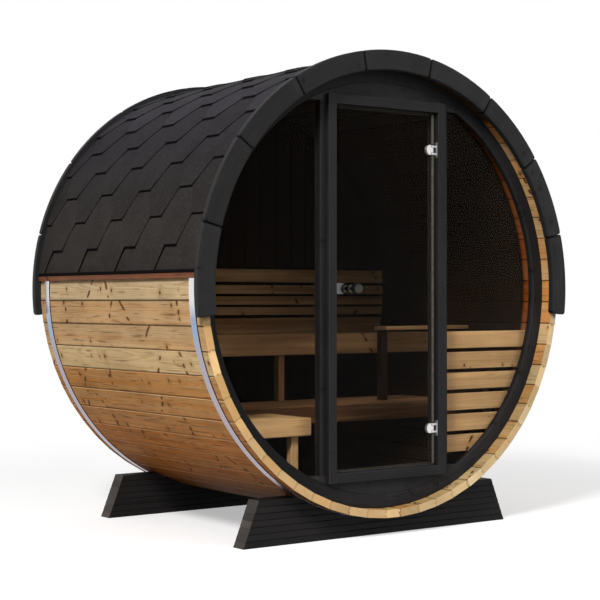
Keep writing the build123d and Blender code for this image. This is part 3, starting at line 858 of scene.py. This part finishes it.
def dress(node, finish, slot, frame_rule=straight_frame, body="sauna", bevel=0.0015, cuts=None,
          arc_step=None, seed=1, tones=(0.3, 0.8), tone_of=None, segments=2, shape_rule=None, wear=0.35,
          inner=None):
    """Replaces a node by a cleaned copy with rounded edges, grain and a finish, and another one inside."""
    shape = clean_copy(node)
    if cuts:
        shape = cut_apart(shape, *cuts)
    if shape_rule:
        shape_rule(shape)
    if arc_step:
        slice_round(shape, arc_step)
    mesh = to_mesh(shape, node)
    staves = frame_rule is lengthwise_frame
    if staves:
        uneven_ends(mesh, seed)
    if bevel:
        mesh = rounded(mesh, bevel, segments)
    else:
        smooth(mesh)
    write_wear(mesh, wear, frame_rule is curved_frame)
    if staves:
        write_bevels(mesh)
    if frame_rule:
        write_grain(mesh, frame_rule, seed, tones, tone_of)
    add(node + "_dressed", mesh, [finish, inner] if inner else [finish], body, [node])
    if inner:
        mesh.polygons.foreach_set("material_index", [int(is_inside(face)) for face in mesh.polygons])


def dress_all(names, finish, slot, seed, **settings):
    """Dresses several nodes in the same way, each with a seed of its own."""
    for number, name in enumerate(names):
        dress(name, finish, slot, seed=seed + number, **settings)


def both_sides(name):
    """The names of a left and a right node."""
    return name + "_left", name + "_right"


# Staves
draw = random.Random(40234)
STAVE_TONES = [draw.uniform(0.1, 0.9) for _ in range(STAVES)]
LEFT_TONES = (-0.2, 0.42, 0.36, -0.3, 0.8, 0.68, 0.64, 0.76, 0.8, 0.92, 1.0, 1.1, 1.1)
TOP_LEFT_STAVE = 14
for number, tone in enumerate(LEFT_TONES):
    STAVE_TONES[TOP_LEFT_STAVE - number] = tone


def stave_tone(middle):
    """Tone of the stave whose middle is given."""
    turn = degrees(atan2(middle[0], middle[2] - AXIS_HEIGHT)) - FIRST_STAVE
    return STAVE_TONES[int((turn % 360) / STAVE_TURN)]


dress_all(["staves_top", "staves_upper_right", "staves_right", "staves_lower_right", "staves_bottom",
           "staves_lower_left", "staves_left", "staves_upper_left"], STAVE_FINISH, "spruce_staves", 100,
          frame_rule=lengthwise_frame, bevel=0.0, tone_of=stave_tone, inner=INNER_STAVES)


# Dark woodwork of the front, and the cradles
def round_corners(shape):
    """Rounds the corners where two boards of an arch meet, so that each joint starts in a small notch."""
    corners = [edge for edge in shape.edges
               if abs((edge.verts[0].co - edge.verts[1].co).normalized().y) > 0.5
               and len(edge.link_faces) == 2 and edge.calc_face_angle() > radians(50)]
    bmesh.ops.bevel(shape, geom=corners, offset=0.008, segments=3, profile=0.5, affect="EDGES")


ANY_TONE = (0.0, 1.0)
panel_joints = [round(-0.8 + WALL_BOARD * (number + 0.5), 4) for number in range(18)]
layers = [round(CRADLE_LAYER * number, 4) for number in range(1, 7)]
# The arches' rounded edges get the full lightening, as rubbed-through stain and as painted highlight
dress_all(["front_arch", "rear_arch"], CHARCOAL, "charcoal_stain", 20, frame_rule=curved_frame,
          bevel=0.0026, arc_step=2.0, tones=ANY_TONE, shape_rule=round_corners, wear=1.0)
dress_all(both_sides("ring_frame"), RING_FINISH, "charcoal_stain", 24, frame_rule=curved_frame,
          bevel=0.0008, arc_step=3.0)
dress_all(["front_top_panel", "front_bottom_panel"], CHARCOAL, "charcoal_stain", 28,
          cuts=((1, 0, 0), panel_joints), bevel=0.0025, tones=ANY_TONE, segments=1)
dress_all(both_sides("door_jamb"), CHARCOAL, "charcoal_stain", 31, bevel=0.002, tones=ANY_TONE)
# The door head gets the darkest tones, as painted shade under the ring
dress("door_head", CHARCOAL, "charcoal_stain", bevel=0.002, seed=33, tones=(1.0, 1.4))
dress_all(["door_sill", *both_sides("window_post")], CHARCOAL, "charcoal_stain", 34, bevel=0.002,
          tones=ANY_TONE)
dress_all(["cradle_front", "cradle_rear"], CRADLE_FINISH, "charcoal_stain", 41,
          cuts=((0, 0, 1), layers), bevel=0.0008, tones=ANY_TONE, segments=1)


# Rear wall, benches, backrest and guard
def end_board_tone(middle):
    """The end board by the front wall gets a pale tone as painted light, like the side bench; the foot
    bench's apron a dark one as painted shade.
    """
    return 0.1 if middle[1] < -0.5 else 1.0


rear_joints = [round(-0.95 + WALL_BOARD * number, 4) for number in range(1, 20) if number != 10]
dress_all(both_sides("rear_wall"), REAR_FINISH, "spruce_wall", 51, cuts=((1, 0, 0), rear_joints),
          bevel=0.0025, tones=ANY_TONE, segments=1, inner=INNER_REAR)
for number, name in enumerate(["upper_bench_boards", "upper_bench_apron", "upper_bench_post",
                               "lower_bench_boards", "lower_bench_aprons", "side_bench_boards",
                               "side_bench_leg", "backrest_slats", "backrest_battens", "guard_boards",
                               "guard_posts", "guard_rail"]):
    # Pale tones on the guard, the side bench and its leg paint the light that falls in through the glass;
    # the other boards get dark tones as painted shade
    sunlit = name in ("guard_boards", "side_bench_boards", "side_bench_leg")
    finish = {"guard_posts": POST_FINISH, "lower_bench_aprons": APRON_FINISH}.get(name, BENCH_FINISH)
    dress(name, finish, "heat_treated_boards", bevel=0.003, seed=61 + number,
          tones=(0.0, 0.2) if sunlit else (0.62, 0.84),
          tone_of=end_board_tone if name == "lower_bench_aprons" else None)
dress_all(both_sides("eave_batten"), EAVE_FINISH, "eave_stain", 75)

# Steel and glass
for name in ("hoop_front", "hoop_rear"):
    dress(name, HOOP_STEEL, "stainless_band", curved_frame, bevel=0.0003, seed=3, segments=1)
    # A black strip under each hoop, standing out past its front edge, paints the shadow line beside the
    # band
    shadow_strip = clean_copy(name)
    for vertex in shadow_strip.verts:
        vertex.co = (0.9994 * vertex.co.x, vertex.co.y - 0.0045,
                     AXIS_HEIGHT + 0.9994 * (vertex.co.z - AXIS_HEIGHT))
    add(name + "_liner", to_mesh(shadow_strip, name), [TAPE_AND_SHADOW], "sauna")
for name, body, finish in (("hinge_plates", "sauna", SATIN_STEEL), ("hinge_clamps", "door", SATIN_STEEL),
                           ("door_catch", "door", CHROME), ("door_knobs", "door", DARK_NICKEL)):
    dress(name, finish, "chrome_fittings", None, body=body, bevel=0.0006)
for name, body, edge in (("side_glass_left", "sauna", TAPE_AND_SHADOW), ("side_glass_right", "sauna", TAPE_AND_SHADOW),
                         ("door_glass", "door", GLASS_EDGE)):
    mesh = rounded(to_mesh(clean_copy(name), name), 0.0008, 1)
    edges = np.abs(read(mesh.polygons, "normal")[:, 1]) <= 0.99
    mesh.polygons.foreach_set("material_index", edges.astype(int))
    add(name + "_dressed", mesh, [TINTED, edge], body, [name])


# Roof
def new_rule(name, inputs):
    """Geometry Nodes tree with the carrier's mesh, named inputs and one mesh as its result."""
    return new_tree(name, "Geometry", {"Carrier": "Geometry", **inputs}, {"Geometry": "Geometry"})


def grow(tree, mesh=None, **values):
    """Runs a rule with its sizes and gives back a plain mesh."""
    carrier = new_object("carrier", mesh or bpy.data.meshes.new("carrier"))
    rule = carrier.modifiers.new("rule", "NODES")
    rule.node_group = tree
    for item in tree.interface.items_tree:
        label = item.name.lower().replace(" ", "_")
        if item.item_type == "SOCKET" and item.in_out == "INPUT" and label in values:
            rule[item.identifier] = values[label]
    mesh = evaluated(carrier)
    kept = [material for material in mesh.materials if material]
    order = np.array([kept.index(material) if material else 0 for material in mesh.materials])
    index = order[material_numbers(mesh)]
    mesh.materials.clear()
    mesh.polygons.foreach_set("material_index", index)
    return mesh


def noted(geometry, name, value, kind="FLOAT", domain="POINT"):
    """Geometry with a value stored on it."""
    return Node("GeometryNodeStoreNamedAttribute", {"Geometry": geometry, "Name": name, "Value": value},
                data_type=kind, domain=domain)[0]


def recalled(tree, name, kind="FLOAT"):
    """A value that the geometry carries."""
    return Node("GeometryNodeInputNamedAttribute", {"Name": name}, tree, data_type=kind)[0]


def realized(instances):
    """Instances turned into a mesh."""
    return Node("GeometryNodeRealizeInstances", {0: instances})[0]


def extruded(mesh, offset, **inputs):
    """Faces of a mesh pushed out along their normals."""
    return Node("GeometryNodeExtrudeMesh", {"Mesh": mesh, "Offset Scale": offset, **inputs})


def felt_sheets(tree, columns, rows, count):
    """Closed sheets of one unit thickness, the number of each, and where its vertices are.

    A sheet has a vertex at each whole number, and the sheets lie on each other until they are moved.
    """
    grid = Node("GeometryNodeMeshGrid", {"Size X": columns - 1.0, "Size Y": rows - 1.0,
                                         "Vertices X": columns, "Vertices Y": rows})
    raised = extruded(grid[0], 1.0, Individual=False)
    both = Node("GeometryNodeJoinGeometry", tree=tree)
    both[0] = noted(raised["Mesh"], "cut_edge", raised["Side"], "BOOLEAN", "FACE")
    both[0] = Node("GeometryNodeFlipFaces", {"Mesh": grid[0]})[0]
    sheet = Node("GeometryNodeMergeByDistance", {"Geometry": both[0], "Distance": 0.001})[0]
    line = Node("GeometryNodeMeshLine", {"Count": count, "Offset": (0, 0, 0)})
    placed = Node("GeometryNodeInstanceOnPoints", {"Points": line[0], "Instance": sheet})
    index = Node("GeometryNodeInputIndex", tree=tree)[0]
    sheets = realized(noted(placed[0], "sheet", index, domain="INSTANCE"))
    return sheets, recalled(tree, "sheet"), split(Node("GeometryNodeInputPosition", tree=tree)[0])


def lay_felt(tree, result, sheets, radius, turn, run, side, lot, from_edge):
    """Bends sheets of felt round the barrel, notes tone and distance from the edge, sets both finishes."""
    place = vector(radius * calc("SINE", turn) * side, run, radius * calc("COSINE", turn) + AXIS_HEIGHT)
    bent = Node("GeometryNodeSetPosition", {"Geometry": sheets, "Position": place})[0]
    real = realized(noted(noted(bent, "tab_tone", lot), "from_edge", from_edge))
    felt = Node("GeometryNodeSetMaterial", {"Geometry": real, "Material": FELT})[0]
    edge = recalled(tree, "cut_edge", "BOOLEAN")
    result[0] = Node("GeometryNodeSetMaterial", {"Geometry": felt, "Selection": edge,
                                                 "Material": CUT_FELT})[0]


TAB_PITCH = 0.333
TAB_FLAT = 0.098
FIRST_TAB = 0.236 - HALF_LENGTH


def shingle_rule():
    """Courses of hexagonal tabs, lapped and bent round the barrel."""
    given, result, tree = new_rule("shingle courses", {
        "Courses": 13, "Points": 24, "Rows": 14, "Pitch": TAB_PITCH, "Flat": TAB_FLAT, "Slant": 0.0685,
        "Exposure": 7.22, "Lap": 2.05, "Cut": 1.0, "First bottom": 87.1, "Edge": ROOF_EDGE,
        "Base": 1.0004, "Lift": 0.0076, "Thickness": 0.0078, "Undercut": 0.45, "Front": -1.0,
        "Side": 1.0, "Seed": 5})
    sheets, course, (x, y, layer) = felt_sheets(tree, given["Points"], given["Rows"], given["Courses"])
    column = calc("ROUND", (given["Points"] - 1.0) * 0.5 + x)
    climb = y / (given["Rows"] - 1.0) + 0.5
    layer = layer > 0.5
    # Each tab has four columns: two on its short lower side and two on the notch beside it
    step = column % 4.0
    tab = calc("FLOOR", (column + 0.1) / 4.0)
    low_side = step > 1.5
    run = ((step > 0.5) + (step > 2.5)) * given["Flat"] + low_side * given["Slant"]
    run = run + tab * given["Pitch"] + course % 2.0 * (given["Pitch"] * 0.5)
    tab_number = course * 100.0 + calc("FLOOR", (column + 1.1) / 4.0)
    lot = Node("FunctionNodeRandomValue", {"ID": tab_number, "Seed": given["Seed"]},
               data_type="FLOAT")["Value"]
    run = run + given["Front"] + (lot * 0.003 - 0.0015)
    bottom = given["First bottom"] - course * given["Exposure"]
    low = bottom - low_side * given["Cut"] * given["Exposure"]
    length = given["Lap"] * given["Exposure"]
    top = bottom - length
    angle = low + climb * (top - low)
    angle = angle + (climb < 0.01) * (1.0 - layer) * given["Undercut"]
    angle = calc("MINIMUM", angle, given["Edge"])
    radius = given["Base"] + (angle - top) / length * given["Lift"] + layer * given["Thickness"]
    lay_felt(tree, result, sheets, radius, calc("RADIANS", angle), run, given["Side"], lot,
             calc("RADIANS", low - angle))
    return tree


def cap_rule():
    """Caps of felt folded over the ridge, each lapped on the next."""
    given, result, tree = new_rule("ridge caps", {
        "Caps": 9, "Columns": 11, "Rows": 4, "Spread": 7.5, "Pitch": 0.159, "Length": 0.21,
        "Base": 1.0128, "Lift": 0.0042, "Thickness": 0.004, "Front": -HALF_LENGTH, "Seed": 9})
    sheets, cap, (x, y, layer) = felt_sheets(tree, given["Columns"], given["Rows"], given["Caps"])
    lot = Node("FunctionNodeRandomValue", {"ID": cap, "Seed": given["Seed"]}, data_type="FLOAT")["Value"]
    over = x / (given["Columns"] - 1.0)
    back = y / (given["Rows"] - 1.0) + 0.5
    turn = calc("RADIANS", over * 2.0 * given["Spread"]) + (lot * 0.006 - 0.003)
    radius = layer * given["Thickness"] + ((1.0 - back) * given["Lift"] + given["Base"])
    from_edge = back * given["Length"]
    run = cap * given["Pitch"] + given["Front"] + from_edge
    lay_felt(tree, result, sheets, radius, turn, run, 1.0, lot, from_edge)
    return tree


def bar(name, side, turns, radii, material):
    """A strip along the barrel between two angles and two radii."""
    corners = [(turns[0], radii[0]), (turns[0], radii[1]), (turns[1], radii[1]), (turns[1], radii[0])]
    shape = bmesh.new()
    near, far = [[shape.verts.new(polar(radius, side * turn, y)) for turn, radius in corners]
                 for y in (0.0015 - HALF_LENGTH, HALF_LENGTH - 0.0015)]
    shape.faces.new(near)
    shape.faces.new(far)
    for number in range(4):
        following = (number + 1) % 4
        shape.faces.new((near[number], near[following], far[following], far[number]))
    bmesh.ops.recalc_face_normals(shape, faces=shape.faces)
    add(name, rounded(to_mesh(shape, name), 0.0012), [material], "sauna")


def add_felt(name, mesh, end, planes=(), replaced=()):
    """Adds felt that is cut off at both ends of the barrel and at other planes."""
    trim(mesh, [((0, -end, 0), (0, -1, 0)), ((0, end, 0), (0, 1, 0)), *planes])
    smooth(mesh)
    add(name, mesh, [FELT, CUT_FELT], "sauna", replaced)


SHINGLES = shingle_rule()
for side, name in ((-1.0, "left"), (1.0, "right")):
    courses = grow(SHINGLES, side=side, front=FIRST_TAB - TAB_FLAT / 2 - TAB_PITCH * 1.5)
    starter = grow(SHINGLES, side=side, front=-1.0, courses=1, rows=9, cut=0.0, lap=1.1,
                   first_bottom=ROOF_EDGE, lift=0.0038, thickness=0.0032, undercut=0.0)
    add_felt("shingles_" + name, join_meshes("shingles_" + name, [courses, starter]), 0.6995,
             [((side * 0.0004, 0, 0), (-side, 0, 0))], ["roof_covering_" + name])
for side, name in ((-1.0, "left"), (1.0, "right")):
    # A black strip just above each batten paints the shadow line under the shingles' edge
    bar("eave_felt_" + name, side, (ROOF_EDGE - 0.75, ROOF_EDGE - 0.02), (1.0005, 1.0165), CUT_FELT)
add_felt("ridge_caps", grow(cap_rule()), 0.6992)


# Screws and the strip on the door's edge
def screw_rule():
    """Domed heads with a sunk socket, one at each point of the carrier, along its way."""
    given, result, tree = new_rule("screws", {
        "Radius": 0.0042, "Height": 0.0012, "Proud": 0.0005, "Socket": 0.45, "Depth": 0.0009,
        "Material": "Material"})

    def shrunk(made, share):
        """An extruded mesh with its top made smaller."""
        inputs = {"Geometry": made["Mesh"], "Selection": made["Top"], "Scale": share}
        return Node("GeometryNodeScaleElements", inputs)[0]

    head = Node("GeometryNodeMeshCylinder", {"Vertices": 14, "Radius": given["Radius"],
                                             "Depth": given["Height"]})
    dome = extruded(head["Mesh"], given["Height"] * 0.2, Selection=head["Top"])
    rim = extruded(shrunk(dome, 0.8), 0.00001, Selection=dome["Top"])
    sunk = extruded(shrunk(rim, given["Socket"]), given["Depth"] * -1.0, Selection=rim["Top"])
    turned = Node("FunctionNodeAlignRotationToVector", {"Vector": recalled(tree, "way", "FLOAT_VECTOR")},
                  axis="Z")[0]
    placed = Node("GeometryNodeInstanceOnPoints", {
        "Points": given["Carrier"], "Instance": sunk["Mesh"], "Rotation": turned})
    lift = given["Height"] * -0.5 + given["Proud"]
    raised = Node("GeometryNodeTranslateInstances", {"Instances": placed[0],
                                                     "Translation": vector(0.0, 0.0, lift)})
    result[0] = Node("GeometryNodeSetMaterial", {"Geometry": realized(raised[0]),
                                                 "Material": given["Material"]})[0]
    return tree


SCREWS = screw_rule()


def screws(name, spots, material, slot, **sizes):
    """One piece with a screw head at each place, which looks along the way given with it."""
    points = bpy.data.meshes.new("points")
    points.from_pydata([place for place, _ in spots], [], [])
    store(points, "way", np.array([way for _, way in spots], float))
    add(name, grow(SCREWS, mesh=points, material=material, **sizes), [material], "sauna")


for name, way in (("front", -1), ("rear", 1)):
    starts = [(board - ARCH_BOARDS / 2) * ARCH_TURN for board in range(ARCH_BOARDS)]
    spots = [(polar(radius, turn, way * ARCH_FACE), (0, way, 0))
             for start in starts for turn in (start + 1.6, start + ARCH_TURN - 1.6)
             for radius in (ARCH_INNER + 0.022, ARCH_OUTER - 0.05)]
    screws(name + "_arch_screws", spots, BLACK_SCREW, "charcoal_stain")

(_, guard_front, _), (_, _, guard_top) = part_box("guard_boards")
GUARD_BOARD = 0.095
FREE_RADIUS = 0.93
spots = [((post, guard_front, guard_top - GUARD_BOARD * row - step), (0, -1, 0))
         for row in range(6) for post in (0.365, 0.665) for step in (0.02, 0.057)]
spots = [(place, way) for place, way in spots
         if place[0] ** 2 + (place[2] - AXIS_HEIGHT) ** 2 < FREE_RADIUS ** 2]
screws("guard_screws", spots, STEEL_SCREW, "chrome_fittings", radius=0.003)
spots = [((0.285, -0.6395, AXIS_HEIGHT + hinge + step), (-1, 0, 0))
         for hinge in HINGES for step in (-0.0285, 0.0285)]
screws("hinge_screws", spots, STEEL_SCREW, "chrome_fittings", radius=0.0028, height=0.0008)
BATTEN = 87.24
spots = [(polar(1.0133, side * BATTEN, -0.6 + 0.3 * number),
          (side * sin(radians(BATTEN)), 0.0, cos(radians(BATTEN))))
         for side in (-1, 1) for number in range(5)]
screws("batten_screws", spots, BLACK_SCREW, "eave_stain", radius=0.003)


def strips(name, boxes, round_off):
    """Mesh of straight strips, each between its lowest and its highest corner."""
    shape = bmesh.new()
    for low, high in boxes:
        made = bmesh.ops.create_cube(shape, size=1.0)
        for vertex in made["verts"]:
            vertex.co = [(a + b) / 2 + (b - a) * share for a, b, share in zip(low, high, vertex.co)]
    return rounded(to_mesh(shape, name), round_off)


# The strip runs along the door's hinge edge and leaves the hinges free
HINGE_FREE = 0.026
ends = (-0.785, HINGES[1] - HINGE_FREE, HINGES[1] + HINGE_FREE,
        HINGES[0] - HINGE_FREE, HINGES[0] + HINGE_FREE, 0.779)
boxes = [((0.2628, -0.6432, AXIS_HEIGHT + low), (0.2763, -0.642, AXIS_HEIGHT + high))
         for low, high in zip(ends[::2], ends[1::2])]
add("door_edge_strip", strips("door_edge_strip", boxes, 0.0003), [EDGE_STRIP], "door")

# Loose tongues that close the joints of the rear wall
WALL_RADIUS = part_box("rear_wall_right")[1][0] - 0.012
TONGUE = 0.004
boxes = []
for place in rear_joints + [0.0]:
    if abs(place) < WALL_RADIUS - 0.02:
        reach = sqrt(WALL_RADIUS ** 2 - (abs(place) + TONGUE) ** 2)
        boxes.append(((place - TONGUE, REAR_WALL + 0.017, AXIS_HEIGHT - reach),
                      (place + TONGUE, REAR_WALL + 0.023, AXIS_HEIGHT + reach)))
mesh = strips("rear_wall_tongues", boxes, 0.0004)
write_wear(mesh, 0.2, False)
write_grain(mesh, straight_frame, 97)
add("rear_wall_tongues", mesh, [INNER_REAR], "sauna")


# Floor, backdrop, lamps and camera
def seen(tree):
    """Whether a ray comes from the camera, straight or by way of metal or glass."""
    rays = Node("ShaderNodeLightPath", tree=tree)
    return larger(rays["Is Camera Ray"], larger(rays["Is Glossy Ray"], rays["Is Transmission Ray"]))


def studio(reach=60.0, daylight=0.42):
    """Pale floor that turns white far away, and white surroundings that give a softer light."""
    mesh = bpy.data.meshes.new("studio_floor")
    mesh.from_pydata([(-reach, -reach, 0), (reach, -reach, 0), (reach, reach, 0), (-reach, reach, 0)], [],
                     [(0, 1, 2, 3)])
    material = bpy.data.materials.new("pale_floor")
    tree = emptied(material)
    lit = Node("ShaderNodeBsdfDiffuse", {0: (0.7, 0.7, 0.7)}, tree)
    glow = Node("ShaderNodeEmission", {0: (1, 1, 1), 1: daylight}, tree)
    near = Node("ShaderNodeAddShader", {0: lit[0], 1: glow[0]})
    white = Node("ShaderNodeEmission", {0: (1, 1, 1), 1: 1.0}, tree)
    far = ramp(length(object_place(tree)), 2.0, 4.5)
    shown = Node("ShaderNodeMixShader", {0: far, 1: near[0], 2: white[0]})
    dull = Node("ShaderNodeBsdfDiffuse", {0: (0.17, 0.17, 0.17)}, tree)
    both = Node("ShaderNodeMixShader", {0: seen(tree), 1: dull[0], 2: shown[0]})
    Node("ShaderNodeOutputMaterial", {"Surface": both[0]})
    mesh.materials.append(material)
    new_object("studio_floor", mesh)
    scene.world = bpy.data.worlds.new("white_studio")
    tree = emptied(scene.world)
    strength = seen(tree) * (1.0 - daylight) + daylight
    background = Node("ShaderNodeBackground", {0: (1, 1, 1), 1: strength})
    Node("ShaderNodeOutputWorld", {"Surface": background[0]})


def lamp(name, place, target, size, power):
    """Soft square lamp that points at a place."""
    light = bpy.data.lights.new(name, "AREA")
    light.shape = "SQUARE"
    light.size = size
    light.energy = power
    holder = new_object(name, light)
    holder.location = place
    holder.visible_glossy = False
    holder.rotation_euler = (Vector(target) - Vector(place)).to_track_quat("-Z", "Y").to_euler()


studio()
lamp("key_lamp", (-6.6, -4.6, 6.8), (0, 0, 1.0), 1.8, 820.0)
lamp("fill_lamp", (3.2, -6.0, 5.0), (0, 0, 1.0), 3.0, 170.0)

camera = bpy.data.cameras.new("camera")
camera.lens = 91.4
camera.sensor_width = 36.0
scene.camera = new_object("camera", camera)
scene.camera.location = (-4.2535, -5.813, 1.0281)
scene.camera.rotation_euler = (radians(90.01), 0.0009, radians(-36.20))
scene.view_settings.view_transform = "Standard"
